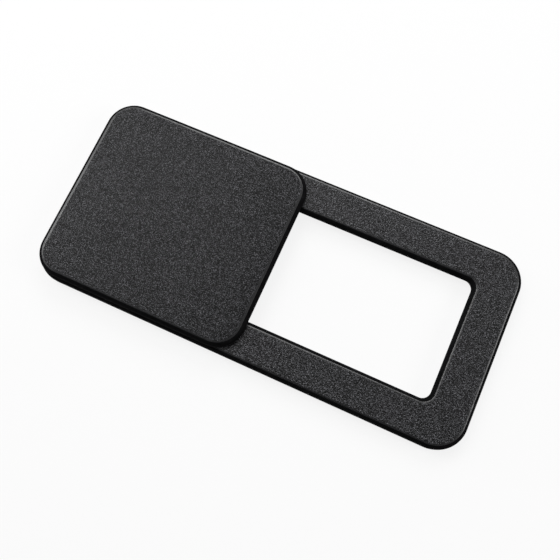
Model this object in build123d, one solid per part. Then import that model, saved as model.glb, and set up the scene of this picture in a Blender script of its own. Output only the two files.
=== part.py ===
from build123d import *
import os

# Webcam cover slider: an adhesive-backed frame with a window, and a cover that slides along it.
# Millimetres. +X is the way the cover slides to close, +Z points away from the screen it is stuck to.
# The origin is the middle of the face that is stuck down. The cover stands open, at the -X end.

# Base frame
frame_length = 18.0
frame_width = 8.1
frame_thickness = 0.50
frame_corner_radius = 1.22
end_bar_width = 1.70
rail_width = 1.60
window_corner_radius = 0.36

# Sliding cover
cover_length = 8.90
cover_thickness = 0.32
cover_crown = 0.10
cover_side_inset = 0.10
cover_end_inset = 0.05
edge_round = 0.24
under_edge_round = 0.04

# Neck under the cover, which runs in the window
neck_wall = 0.80

# Keeper plate, staked under the neck
keeper_thickness = 0.16
keeper_grip = 0.35
keeper_corner_radius = 0.30
stake_diameter = 0.50
stake_head_flare = 0.08

# Double-sided tape
tape_thickness = 0.15
tape_setback = 0.06

# Clearances
running_gap = 0.03
side_gap = 0.06
end_gap = 0.04
channel_gap = 0.10
stake_gap = 0.02

# The largest share of a wall that a round along its edge may take
round_limit = 0.86

# Window and the channel under the rails
window_length = frame_length - 2 * end_bar_width
window_width = frame_width - 2 * rail_width
keeper_width = window_width + 2 * keeper_grip
channel_length = window_length + 2 * channel_gap
channel_width = keeper_width + 2 * channel_gap
channel_depth = keeper_thickness + 2 * running_gap
lip_thickness = frame_thickness - channel_depth

# Cover, its travel and the neck that stops it at both ends of the window
cover_width = frame_width - 2 * cover_side_inset
cover_corner_radius = frame_corner_radius - cover_side_inset
cover_edge_thickness = cover_thickness - cover_crown
cover_lower_round = min(under_edge_round, round_limit * cover_edge_thickness / 2)
cover_upper_round = min(edge_round, round_limit * (cover_edge_thickness - cover_lower_round))
crown_radius = ((cover_length / 2) ** 2 + cover_crown ** 2) / (2 * cover_crown)
travel = frame_length - 2 * cover_end_inset - cover_length
cover_x = -travel / 2
neck_length = window_length - travel - 2 * end_gap
neck_width = window_width - 2 * side_gap
neck_corner_radius = window_corner_radius - side_gap

# Heights, from the stuck face up
frame_bottom = tape_thickness
frame_top = frame_bottom + frame_thickness
channel_top = frame_bottom + channel_depth
cover_bottom = frame_top + running_gap
cover_top = cover_bottom + cover_thickness
keeper_bottom = frame_bottom + running_gap
keeper_top = keeper_bottom + keeper_thickness


def rounded_block(length, width, corner_radius, bottom, top, x=0.0):
    """A plate with rounded corners, between two heights."""
    outline = Pos(x, 0, bottom) * RectangleRounded(length, width, corner_radius)
    return extrude(outline, amount=top - bottom)


def round_edges(block, height, radius):
    """Round every edge that lies flat at one height."""
    edges = block.edges().filter_by_position(Axis.Z, height, height)
    return fillet(edges, radius)


def stake_places():
    """The middles of the four corners of the neck's wall."""
    along = neck_length - neck_wall
    across = neck_width - neck_wall
    return [Pos(cover_x, 0, 0) * place for place in GridLocations(along, across, 2, 2)]


def stake_shape(play):
    """One stake with its flared head at the bottom, or with play added, the hole for it."""
    radius = stake_diameter / 2 + play
    shank = Pos(0, 0, keeper_bottom) * extrude(Circle(radius), amount=keeper_thickness)
    head = Pos(0, 0, keeper_bottom) * Cone(
        radius + stake_head_flare,
        radius,
        stake_head_flare,
        align=(Align.CENTER, Align.CENTER, Align.MIN),
    )
    return shank + head


def base_frame():
    """The frame: a plate with a window, and a channel under the rails for the keeper."""
    plate = rounded_block(frame_length, frame_width, frame_corner_radius, frame_bottom, frame_top)
    window = rounded_block(window_length, window_width, window_corner_radius, frame_bottom, frame_top)
    channel = rounded_block(
        channel_length,
        channel_width,
        window_corner_radius,
        frame_bottom,
        channel_top,
    )
    frame = plate - window - channel
    return round_edges(frame, frame_top, min(edge_round, round_limit * lip_thickness))


def cover_plate():
    """The plate of the cover: its top is bowed a little along its length, and all its edges are rounded."""
    block = rounded_block(
        cover_length,
        cover_width,
        cover_corner_radius,
        cover_bottom,
        cover_top,
        cover_x,
    )
    bow = Pos(cover_x, 0, cover_top - crown_radius) * Rot(90, 0, 0) * Cylinder(crown_radius, frame_width)
    plate = block & bow
    top_edges = plate.faces().sort_by(Axis.Z)[-1].edges()
    plate = fillet(top_edges, cover_upper_round)
    return round_edges(plate, cover_bottom, cover_lower_round)


def cover_neck():
    """The hollow neck under the cover."""
    neck = rounded_block(neck_length, neck_width, neck_corner_radius, keeper_top, cover_bottom, cover_x)
    hollow = rounded_block(
        neck_length - 2 * neck_wall,
        neck_width - 2 * neck_wall,
        neck_corner_radius,
        keeper_top,
        cover_bottom,
        cover_x,
    )
    return neck - hollow


def slider_cover():
    """The cover plate, with the neck that runs in the window and the stakes under it."""
    cover = cover_plate() + cover_neck()
    for place in stake_places():
        cover += place * stake_shape(play=0)
    return cover


def slider_keeper():
    """The thin plate under the rails that keeps the cover from lifting off."""
    keeper = rounded_block(
        neck_length,
        keeper_width,
        keeper_corner_radius,
        keeper_bottom,
        keeper_top,
        cover_x,
    )
    for place in stake_places():
        keeper -= place * stake_shape(play=stake_gap)
    return keeper


def adhesive_ring():
    """The die-cut tape under the frame, clear of the channel and of the window."""
    outer = rounded_block(
        frame_length - 2 * tape_setback,
        frame_width - 2 * tape_setback,
        frame_corner_radius - tape_setback,
        0,
        tape_thickness,
    )
    opening = rounded_block(
        channel_length + 2 * tape_setback,
        channel_width + 2 * tape_setback,
        window_corner_radius + tape_setback,
        0,
        tape_thickness,
    )
    return outer - opening


os.makedirs("parts", exist_ok=True)
for make_piece in (base_frame, slider_cover, slider_keeper, adhesive_ring):
    export_step(make_piece(), f"parts/{make_piece.__name__}.step")
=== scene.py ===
import bmesh
import bpy
import math
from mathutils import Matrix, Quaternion, Vector


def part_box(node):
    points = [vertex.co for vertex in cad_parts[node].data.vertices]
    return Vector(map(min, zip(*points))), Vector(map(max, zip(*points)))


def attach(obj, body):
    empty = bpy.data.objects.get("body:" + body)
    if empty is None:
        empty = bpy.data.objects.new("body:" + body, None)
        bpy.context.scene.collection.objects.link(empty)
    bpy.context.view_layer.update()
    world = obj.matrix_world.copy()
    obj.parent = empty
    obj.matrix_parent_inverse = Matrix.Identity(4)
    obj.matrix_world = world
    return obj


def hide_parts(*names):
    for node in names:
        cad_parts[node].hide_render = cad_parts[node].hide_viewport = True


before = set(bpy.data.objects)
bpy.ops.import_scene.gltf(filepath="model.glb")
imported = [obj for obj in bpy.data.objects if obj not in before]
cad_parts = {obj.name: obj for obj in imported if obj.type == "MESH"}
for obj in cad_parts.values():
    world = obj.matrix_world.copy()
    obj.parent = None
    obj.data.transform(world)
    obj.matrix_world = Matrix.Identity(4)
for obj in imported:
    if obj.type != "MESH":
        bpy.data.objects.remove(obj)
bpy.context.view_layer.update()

# Webcam cover slider, looked at from above with the cover open.
# Pieces are modelled in millimetres, where the frame puts them, and brought to metres when finished.
MM = 0.001
METRES_PER_MM = (MM, MM, MM)

# Sizes read from the frame
frame_low, frame_high = (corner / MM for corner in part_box("base_frame"))
cover_low, cover_high = (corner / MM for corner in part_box("slider_cover"))
keeper_low, keeper_high = (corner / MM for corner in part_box("slider_keeper"))

# Frame
end_bar_width = 1.70
rail_width = 1.60
frame_corner_radius = 1.22
window_corner_radius = 0.36
edge_round = 0.24
frame_length = frame_high.x - frame_low.x
frame_width = frame_high.y - frame_low.y
frame_thickness = frame_high.z - frame_low.z
window_length = frame_length - 2 * end_bar_width
window_width = frame_width - 2 * rail_width

# Channel under the rails
channel_gap = 0.10
running_gap = 0.03
keeper_width = keeper_high.y - keeper_low.y
channel_length = window_length + 2 * channel_gap
channel_width = keeper_width + 2 * channel_gap
channel_top = keeper_high.z + running_gap

# Cover, its neck and the stakes under it
under_edge_round = 0.04
cover_crown = 0.10
crown_power = 4.5
neck_wall = 0.80
side_gap = 0.06
stake_radius = 0.25
stake_head_flare = 0.08
stake_dimple_rim = 0.12
stake_dimple_depth = 0.02
cover_length = cover_high.x - cover_low.x
cover_width = cover_high.y - cover_low.y
cover_x = (cover_low.x + cover_high.x) / 2
cover_bottom = frame_high.z + running_gap
cover_thickness = cover_high.z - cover_bottom
cover_corner_radius = frame_corner_radius - (frame_width - cover_width) / 2
neck_length = keeper_high.x - keeper_low.x
neck_width = window_width - 2 * side_gap
neck_corner_radius = window_corner_radius - side_gap

# Fineness of the meshes
corner_steps = 24
round_steps = 12
crown_steps = 26
stake_sides = 40
cove_sides = 96
flat_margin = 0.03
joint_overlap = 0.05
place_tolerance = 1e-3
merge_distance = 5e-4
smooth_angle = math.radians(28)

# The height of a face's normal that parts flat faces from walls
flat_normal = 0.5

# Tilts at which the grain ends, and the burnished line along the upper rounds after it
grain_tilt = math.radians(7.5)
burnish_tilt = math.radians(22.5)

# How much stronger blue is than red and green in the black plastic
black_blueness = 1.08

# Greys of the black plastic, darkest first where there are two
# The pebble greys mix the grain's own random tone with painted light and shade: the near-black pebbles
# are painted shade of pits and the lighter ones painted highlight of peaks, each given at random.
painted_pit_shade_grey = 0.0003
low_pebble_grey = 0.006
rubbed_pebble_grey = 0.026
# The sides and underside are greyed darker than the plastic itself: painted shade.
painted_shade_side_greys = (0.002, 0.006)
film_greys = (0.018, 0.034)

# Pebbles of the grain to the millimetre, as moulded and where rubbed, and the share that stays dark
pebbles_per_mm = 50.0
rubbed_pebbles_per_mm = 40.0
low_pebble_share = 0.72

# Streaks to the millimetre on the keeper, drawn out along the slide
film_streaks = (0.15, 6.0, 1.0)

# Colours of the tape, dry and wetted out
tape_dry = (0.52, 0.52, 0.50)
tape_wetted = (0.68, 0.68, 0.66)

# Studio: a white cove around the object, in metres
cove_radius = 0.5
cove_height = 0.25
cove_round = 0.12
floor_drop = 0.00001

# Floor: its own grey, and the share of pure white that the camera sees in its place
floor_grey = 0.80
floor_white_share = 0.85

# Camera
camera_place = Vector((3.679, -5.449, 25.254)) * MM
camera_aim = Vector((0.380, -0.480, 0.65)) * MM
camera_roll = math.radians(-9.55)
camera_lens = 41.79
camera_nearest = 0.001


# Modelling steps

def start_piece(name):
    """A new piece in edit mode, with its mesh still empty."""
    bpy.ops.object.select_all(action="DESELECT")
    bpy.ops.mesh.primitive_plane_add(size=1, location=(0, 0, 0))
    piece = bpy.context.object
    piece.name = name
    piece.data.name = name
    bpy.ops.object.mode_set(mode="EDIT")
    bpy.ops.mesh.delete(type="VERT")
    return piece


def draw_plate(length, width, corner_radius, x, z):
    """Add a flat plate with rounded corners to the mesh in edit mode, and leave it selected."""
    bpy.ops.mesh.select_all(action="DESELECT")
    bpy.ops.mesh.primitive_plane_add(size=1, location=(x, 0, z))
    bpy.ops.transform.resize(value=(length, width, 1), center_override=(x, 0, z))
    bpy.ops.mesh.bevel(offset=corner_radius, segments=corner_steps, affect="VERTICES")


def draw_ring(outer, inner, x, z):
    """Add a flat ring between two rounded outlines, each a length, a width and a corner radius."""
    draw_plate(*outer, x, z)
    draw_plate(*inner, x, z)
    bpy.ops.mesh.select_all(action="SELECT")
    bpy.ops.mesh.delete(type="ONLY_FACE")
    bpy.ops.mesh.select_all(action="SELECT")
    bpy.ops.mesh.bridge_edge_loops()


def raise_walls(height):
    """Pull the flat shape up into a closed solid."""
    bpy.ops.mesh.select_all(action="SELECT")
    bpy.ops.mesh.extrude_region_move(TRANSFORM_OT_translate={"value": (0, 0, height)})
    bpy.ops.mesh.select_all(action="SELECT")
    bpy.ops.mesh.normals_make_consistent(inside=False)


def edited_mesh():
    """The mesh in edit mode, with nothing selected."""
    bpy.ops.mesh.select_all(action="DESELECT")
    return bmesh.from_edit_mesh(bpy.context.object.data)


def select_rim(z):
    """Select the edges at one height where a flat face meets a wall."""
    mesh = edited_mesh()
    for edge in mesh.edges:
        level = all(abs(vertex.co.z - z) < place_tolerance for vertex in edge.verts)
        on_wall = any(abs(face.normal.z) < flat_normal for face in edge.link_faces)
        edge.select_set(level and on_wall)
    mesh.select_flush_mode()
    bmesh.update_edit_mesh(bpy.context.object.data)


def select_flat(z):
    """Select the flat faces at one height."""
    mesh = edited_mesh()
    for face in mesh.faces:
        level = all(abs(vertex.co.z - z) < place_tolerance for vertex in face.verts)
        face.select_set(level and abs(face.normal.z) > flat_normal)
    bmesh.update_edit_mesh(bpy.context.object.data)


def round_rim(z, radius):
    """Round the rim at one height, and keep a narrow margin so that the flat stays flat in shading."""
    bpy.ops.mesh.select_mode(type="EDGE")
    select_rim(z)
    bpy.ops.mesh.bevel(offset=radius, segments=round_steps, affect="EDGES")
    bpy.ops.mesh.select_mode(type="FACE")
    select_flat(z)
    bpy.ops.mesh.inset(thickness=flat_margin)
    bpy.ops.mesh.select_mode(type="VERT")


def crown_top(crown):
    """Bow the top of the cover a little, mostly near both ends."""
    for step in range(1, crown_steps):
        x = cover_low.x + cover_length * step / crown_steps
        bpy.ops.mesh.select_all(action="SELECT")
        bpy.ops.mesh.bisect(plane_co=(x, 0, 0), plane_no=(1, 0, 0))
    mesh = edited_mesh()
    for vertex in mesh.verts:
        share = (vertex.co.z - cover_bottom) / cover_thickness
        from_middle = abs(vertex.co.x - cover_x) / (cover_length / 2)
        vertex.co.z -= crown * share * from_middle ** crown_power
    bmesh.update_edit_mesh(bpy.context.object.data)


def combine(piece, tool, operation):
    """Join another solid to the piece, or cut it away, and delete it."""
    bpy.ops.object.select_all(action="DESELECT")
    bpy.context.view_layer.objects.active = piece
    piece.select_set(True)
    step = piece.modifiers.new("combine", "BOOLEAN")
    step.operation = operation
    step.solver = "EXACT"
    step.object = tool
    bpy.ops.object.modifier_apply(modifier=step.name)
    bpy.data.objects.remove(tool)


def finish_piece(piece):
    """Merge doubled points, bring the piece from millimetres to metres and smooth it."""
    bpy.ops.object.select_all(action="DESELECT")
    bpy.context.view_layer.objects.active = piece
    piece.select_set(True)
    bpy.ops.object.mode_set(mode="EDIT")
    bpy.ops.mesh.select_all(action="SELECT")
    bpy.ops.mesh.remove_doubles(threshold=merge_distance)
    bpy.ops.mesh.dissolve_degenerate(threshold=merge_distance)
    bpy.ops.mesh.select_all(action="SELECT")
    bpy.ops.mesh.normals_make_consistent(inside=False)
    bpy.ops.transform.resize(value=METRES_PER_MM, center_override=(0, 0, 0))
    bpy.ops.object.mode_set(mode="OBJECT")
    bpy.ops.object.shade_smooth_by_angle(angle=smooth_angle)


def finish_by_tilt(piece, grained, burnished, plain):
    """Grain on top, a burnished line along the rounds, and a plain finish darkened as painted shade on
    the sides and underneath.
    """
    for finish in (grained, burnished, plain):
        piece.data.materials.append(finish)
    for face in piece.data.polygons:
        if face.normal.z > math.cos(grain_tilt):
            face.material_index = 0
        elif face.normal.z > math.cos(burnish_tilt):
            face.material_index = 1
        else:
            face.material_index = 2


# Pieces

def model_channel():
    """The space under the rails that the keeper runs in."""
    channel = start_piece("channel")
    bottom = frame_low.z - joint_overlap
    draw_plate(channel_length, channel_width, window_corner_radius, 0, bottom)
    raise_walls(channel_top - bottom)
    bpy.ops.object.mode_set(mode="OBJECT")
    return channel


def model_black_frame():
    """The frame: a rounded plate with a long window and soft upper edges."""
    piece = start_piece("black_frame")
    outer = (frame_length, frame_width, frame_corner_radius)
    window = (window_length, window_width, window_corner_radius)
    draw_ring(outer, window, 0, frame_low.z)
    raise_walls(frame_thickness)
    round_rim(frame_high.z, edge_round)
    bpy.ops.object.mode_set(mode="OBJECT")
    combine(piece, model_channel(), "DIFFERENCE")
    finish_piece(piece)
    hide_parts("base_frame")
    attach(piece, "base")
    return piece


def model_neck():
    """The hollow neck under the cover, which runs in the window."""
    neck = start_piece("neck")
    outer = (neck_length, neck_width, neck_corner_radius)
    hollow = (neck_length - 2 * neck_wall, neck_width - 2 * neck_wall, neck_corner_radius)
    draw_ring(outer, hollow, cover_x, keeper_high.z)
    raise_walls(cover_bottom + joint_overlap - keeper_high.z)
    bpy.ops.object.mode_set(mode="OBJECT")
    return neck


def model_stake(x, y):
    """One stake under the neck, with a flared head that a hot tool has dimpled."""
    bpy.ops.object.select_all(action="DESELECT")
    shank_bottom = keeper_low.z + stake_head_flare
    shank_length = keeper_high.z + joint_overlap - shank_bottom
    bpy.ops.mesh.primitive_cylinder_add(
        vertices=stake_sides,
        radius=stake_radius,
        depth=shank_length,
        location=(x, y, shank_bottom + shank_length / 2),
    )
    stake = bpy.context.object
    bpy.ops.object.transform_apply(location=True, rotation=False, scale=False)
    bpy.ops.object.mode_set(mode="EDIT")
    bpy.ops.mesh.select_mode(type="FACE")
    select_flat(shank_bottom)
    bpy.ops.mesh.extrude_region_move(TRANSFORM_OT_translate={"value": (0, 0, -stake_head_flare)})
    widening = (stake_radius + stake_head_flare) / stake_radius
    bpy.ops.transform.resize(value=(widening, widening, 1), center_override=(x, y, keeper_low.z))
    bpy.ops.mesh.inset(thickness=stake_dimple_rim)
    bpy.ops.transform.translate(value=(0, 0, stake_dimple_depth))
    bpy.ops.mesh.select_mode(type="VERT")
    bpy.ops.object.mode_set(mode="OBJECT")
    return stake


def model_black_cover():
    """The sliding cover: a rounded plate with its neck and four stakes."""
    piece = start_piece("black_cover")
    draw_plate(cover_length, cover_width, cover_corner_radius, cover_x, cover_bottom)
    raise_walls(cover_thickness)
    round_rim(cover_high.z, edge_round)
    round_rim(cover_bottom, under_edge_round)
    crown_top(cover_crown)
    bpy.ops.object.mode_set(mode="OBJECT")
    combine(piece, model_neck(), "UNION")
    along = (neck_length - neck_wall) / 2
    across = (neck_width - neck_wall) / 2
    for x in (cover_x - along, cover_x + along):
        for y in (-across, across):
            combine(piece, model_stake(x, y), "UNION")
    finish_piece(piece)
    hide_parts("slider_cover")
    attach(piece, "slider")
    return piece


# Finishes

def new_finish(name):
    """A material with its node tree, its shader and object coordinates in millimetres."""
    finish = bpy.data.materials.new(name)
    finish.use_nodes = True
    tree = finish.node_tree
    shader = tree.nodes["Principled BSDF"]
    place = tree.nodes.new("ShaderNodeTexCoord")
    scale = tree.nodes.new("ShaderNodeMapping")
    scale.inputs["Scale"].default_value = (1 / MM, 1 / MM, 1 / MM)
    tree.links.new(place.outputs["Object"], scale.inputs["Vector"])
    return finish, tree, shader, scale.outputs["Vector"]


def black_tint(grey):
    """The faintly blue colour of the black plastic, at one depth of grey."""
    return (grey, grey, grey * black_blueness)


def add_noise(tree, place, per_mm, detail, roughness):
    """A noise pattern with so many lumps to the millimetre."""
    noise = tree.nodes.new("ShaderNodeTexNoise")
    noise.inputs["Scale"].default_value = per_mm
    noise.inputs["Detail"].default_value = detail
    noise.inputs["Roughness"].default_value = roughness
    tree.links.new(place, noise.inputs["Vector"])
    return noise.outputs["Fac"]


def add_cells(tree, place, per_mm):
    """Irregular cells, each with a random value of its own that sets its grey and roughness, not the
    height of the relief.
    """
    cells = tree.nodes.new("ShaderNodeTexVoronoi")
    cells.inputs["Scale"].default_value = per_mm
    # Named height, this is only a random value for each cell; the greys drawn from it are partly painted
    # light and shade.
    height = tree.nodes.new("ShaderNodeSeparateColor")
    tree.links.new(place, cells.inputs["Vector"])
    tree.links.new(cells.outputs["Color"], height.inputs["Color"])
    return height.outputs["Red"]


def add_ramp(tree, pattern, stops):
    """Colours along a pattern, each stop a position and a colour."""
    ramp = tree.nodes.new("ShaderNodeValToRGB")
    points = ramp.color_ramp.elements
    while len(points) < len(stops):
        points.new(position=0.5)
    for point, (position, colour) in zip(points, stops):
        point.position = position
        point.color = (*colour, 1)
    tree.links.new(pattern, ramp.inputs["Fac"])
    return ramp.outputs["Color"]


def add_range(tree, pattern, low, high):
    """Spread a pattern from 0 to 1 over another range."""
    spread = tree.nodes.new("ShaderNodeMapRange")
    spread.inputs["To Min"].default_value = low
    spread.inputs["To Max"].default_value = high
    tree.links.new(pattern, spread.inputs["Value"])
    return spread.outputs["Result"]


def lay_finish(tree, shader, colour, roughness, relief, depth_mm):
    """Give the shader its colour and its roughness, and raise the surface by a relief."""
    tree.links.new(colour, shader.inputs["Base Color"])
    tree.links.new(roughness, shader.inputs["Roughness"])
    bump = tree.nodes.new("ShaderNodeBump")
    bump.inputs["Distance"].default_value = depth_mm * MM
    bump.inputs["Strength"].default_value = 1.0
    tree.links.new(relief, bump.inputs["Height"])
    tree.links.new(bump.outputs["Normal"], shader.inputs["Normal"])


def grained_black(name, lumps_per_mm, depth_mm, lightest, gloss):
    """Black plastic from a spark-eroded mould: fine pebbles in random greys, some lighter as painted
    highlight, some near-black as painted pit shade.
    """
    finish, tree, shader, place = new_finish(name)
    pebbles = add_cells(tree, place, per_mm=pebbles_per_mm)
    stops = [
        (0.0, black_tint(painted_pit_shade_grey)),
        (low_pebble_share, black_tint(low_pebble_grey)),
        (1.0, black_tint(lightest)),
    ]
    # Each pebble's grey is partly its own random tone and partly painted light and shade of the grain.
    colour = add_ramp(tree, pebbles, stops)
    roughness = add_range(tree, pebbles, low=0.58, high=0.34)
    relief = add_noise(tree, place, per_mm=lumps_per_mm, detail=0.0, roughness=0.5)
    lay_finish(tree, shader, colour, roughness, relief, depth_mm)
    shader.inputs["Specular IOR Level"].default_value = gloss
    return finish


def burnished_black():
    """The line along an edge where the grain is rubbed, and what is left of it catches the light."""
    finish, tree, shader, place = new_finish("burnished_black")
    pebbles = add_cells(tree, place, per_mm=rubbed_pebbles_per_mm)
    # The rubbed pebbles also run down to the painted pit shade.
    colour = add_ramp(tree, pebbles, [(0.2, black_tint(painted_pit_shade_grey)), (1.0, black_tint(rubbed_pebble_grey))])
    roughness = add_range(tree, pebbles, low=0.50, high=0.26)
    rub = add_noise(tree, place, per_mm=12.0, detail=3.0, roughness=0.6)
    lay_finish(tree, shader, colour, roughness, rub, depth_mm=0.004)
    shader.inputs["Specular IOR Level"].default_value = 0.60
    return finish


def painted_shade_black():
    """The same plastic from the plain sides of the mould, without grain, and darkened there as painted
    shade.
    """
    finish, tree, shader, place = new_finish("painted_shade_black")
    mottle = add_noise(tree, place, per_mm=2.5, detail=4.0, roughness=0.6)
    darker, lighter = painted_shade_side_greys
    # Its mottled greys lie below the plastic's own colour: painted shade on the sides and underneath.
    colour = add_ramp(tree, mottle, [(0.3, black_tint(darker)), (0.7, black_tint(lighter))])
    roughness = add_range(tree, mottle, low=0.78, high=0.92)
    lay_finish(tree, shader, colour, roughness, mottle, depth_mm=0.004)
    shader.inputs["Specular IOR Level"].default_value = 0.03
    return finish


def keeper_film():
    """Smooth dark sheet, with a faint lengthwise rub from sliding."""
    finish, tree, shader, place = new_finish("keeper_film")
    stretch = tree.nodes.new("ShaderNodeMapping")
    stretch.inputs["Scale"].default_value = film_streaks
    tree.links.new(place, stretch.inputs["Vector"])
    rub = add_noise(tree, stretch.outputs["Vector"], per_mm=1.0, detail=4.0, roughness=0.6)
    darker, lighter = film_greys
    colour = add_ramp(tree, rub, [(0.3, black_tint(darker)), (0.75, black_tint(lighter))])
    roughness = add_range(tree, rub, low=0.34, high=0.50)
    lay_finish(tree, shader, colour, roughness, rub, depth_mm=0.004)
    shader.inputs["Specular IOR Level"].default_value = 0.40
    return finish


def pale_tape():
    """Translucent double-sided tape, mottled where the adhesive has wetted out."""
    finish, tree, shader, place = new_finish("pale_tape")
    mottle = add_noise(tree, place, per_mm=1.6, detail=4.0, roughness=0.6)
    colour = add_ramp(tree, mottle, [(0.3, tape_dry), (0.7, tape_wetted)])
    roughness = add_range(tree, mottle, low=0.30, high=0.55)
    lay_finish(tree, shader, colour, roughness, mottle, depth_mm=0.006)
    return finish


def dress_node(name, finish):
    """Give a part that keeps its own mesh its finish."""
    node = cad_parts[name]
    node.data.materials.clear()
    node.data.materials.append(finish)


# Studio

def larger_of(tree, first, second):
    """The larger of two values."""
    larger = tree.nodes.new("ShaderNodeMath")
    larger.operation = "MAXIMUM"
    tree.links.new(first, larger.inputs[0])
    tree.links.new(second, larger.inputs[1])
    return larger.outputs[0]


def white_floor_finish():
    """A pale matt floor that the camera sees nearly white, with the shadow kept."""
    finish = bpy.data.materials.new("white_floor")
    finish.use_nodes = True
    tree = finish.node_tree
    tree.nodes.clear()
    matt = tree.nodes.new("ShaderNodeBsdfDiffuse")
    matt.inputs["Color"].default_value = (floor_grey, floor_grey, floor_grey, 1)
    white = tree.nodes.new("ShaderNodeEmission")
    white.inputs["Strength"].default_value = 1.0
    path = tree.nodes.new("ShaderNodeLightPath")
    seen = larger_of(tree, path.outputs["Is Camera Ray"], path.outputs["Is Glossy Ray"])
    seen_through = larger_of(tree, seen, path.outputs["Is Transmission Ray"])
    share = tree.nodes.new("ShaderNodeMath")
    share.operation = "MULTIPLY"
    share.inputs[1].default_value = floor_white_share
    mix = tree.nodes.new("ShaderNodeMixShader")
    output = tree.nodes.new("ShaderNodeOutputMaterial")
    tree.links.new(seen_through, share.inputs[0])
    tree.links.new(share.outputs[0], mix.inputs["Fac"])
    tree.links.new(matt.outputs["BSDF"], mix.inputs[1])
    tree.links.new(white.outputs["Emission"], mix.inputs[2])
    tree.links.new(mix.outputs["Shader"], output.inputs["Surface"])
    return finish


def build_cove():
    """A round floor that curves up into a low wall, so that low views end on white too."""
    bpy.ops.object.select_all(action="DESELECT")
    bpy.ops.mesh.primitive_cylinder_add(
        vertices=cove_sides,
        radius=cove_radius,
        depth=cove_height,
        end_fill_type="NGON",
        location=(0, 0, cove_height / 2 - floor_drop),
    )
    cove = bpy.context.object
    cove.name = "white_cove"
    bpy.ops.object.transform_apply(location=True, rotation=False, scale=False)
    bpy.ops.object.mode_set(mode="EDIT")
    bpy.ops.mesh.select_mode(type="FACE")
    select_flat(cove_height - floor_drop)
    bpy.ops.mesh.delete(type="FACE")
    bpy.ops.mesh.select_mode(type="EDGE")
    select_rim(-floor_drop)
    bpy.ops.mesh.bevel(offset=cove_round, segments=round_steps, affect="EDGES")
    bpy.ops.mesh.select_mode(type="VERT")
    bpy.ops.object.mode_set(mode="OBJECT")
    bpy.ops.object.shade_smooth_by_angle(angle=smooth_angle)
    cove.data.materials.append(white_floor_finish())


def hang_softbox(name, place_mm, width_mm, height_mm, watts):
    """A soft light, turned to the middle of the object."""
    lamp = bpy.data.lights.new(name, "AREA")
    lamp.shape = "RECTANGLE"
    lamp.size = width_mm * MM
    lamp.size_y = height_mm * MM
    lamp.energy = watts
    softbox = bpy.data.objects.new(name, lamp)
    bpy.context.scene.collection.objects.link(softbox)
    softbox.location = Vector(place_mm) * MM
    softbox.rotation_euler = (-softbox.location).to_track_quat("-Z", "Y").to_euler()


def light_room(strength):
    """Even light from all around."""
    world = bpy.data.worlds.new("soft_room")
    bpy.context.scene.world = world
    world.use_nodes = True
    sky = world.node_tree.nodes["Background"]
    sky.inputs["Color"].default_value = (1, 1, 1, 1)
    sky.inputs["Strength"].default_value = strength


def set_camera():
    """The camera, nearly overhead and a little turned."""
    camera = bpy.data.objects.new("camera", bpy.data.cameras.new("camera"))
    bpy.context.scene.collection.objects.link(camera)
    camera.data.lens = camera_lens
    camera.data.clip_start = camera_nearest
    camera.location = camera_place
    camera.rotation_mode = "QUATERNION"
    straight = (camera_aim - camera_place).to_track_quat("-Z", "Y")
    camera.rotation_quaternion = straight @ Quaternion((0, 0, 1), camera_roll)
    bpy.context.scene.camera = camera


# The object, the studio and the view

# The lightest pebble grey of each plate is partly painted highlight on its grain.
frame_grain = grained_black(
    "grained_frame",
    lumps_per_mm=22.0,
    depth_mm=0.024,
    lightest=0.152,
    gloss=0.22,
)
cover_grain = grained_black(
    "grained_cover",
    lumps_per_mm=20.0,
    depth_mm=0.016,
    lightest=0.130,
    gloss=0.145,
)
burnished = burnished_black()
# The plain finish of both pieces carries painted shade on their sides.
plain = painted_shade_black()
finish_by_tilt(model_black_frame(), frame_grain, burnished, plain)
finish_by_tilt(model_black_cover(), cover_grain, burnished, plain)
dress_node("slider_keeper", keeper_film())
dress_node("adhesive_ring", pale_tape())
build_cove()
hang_softbox("left_low_softbox", place_mm=(-75, 4, 40), width_mm=30, height_mm=60, watts=0.024)
hang_softbox("left_high_softbox", place_mm=(-43, 18, 71), width_mm=34, height_mm=50, watts=0.032)
hang_softbox("back_softbox", place_mm=(-12, 64, 54), width_mm=66, height_mm=40, watts=0.046)
hang_softbox("right_softbox", place_mm=(70, 18, 44), width_mm=40, height_mm=34, watts=0.028)
light_room(strength=0.03)
set_camera()
bpy.context.scene.view_settings.view_transform = "Standard"
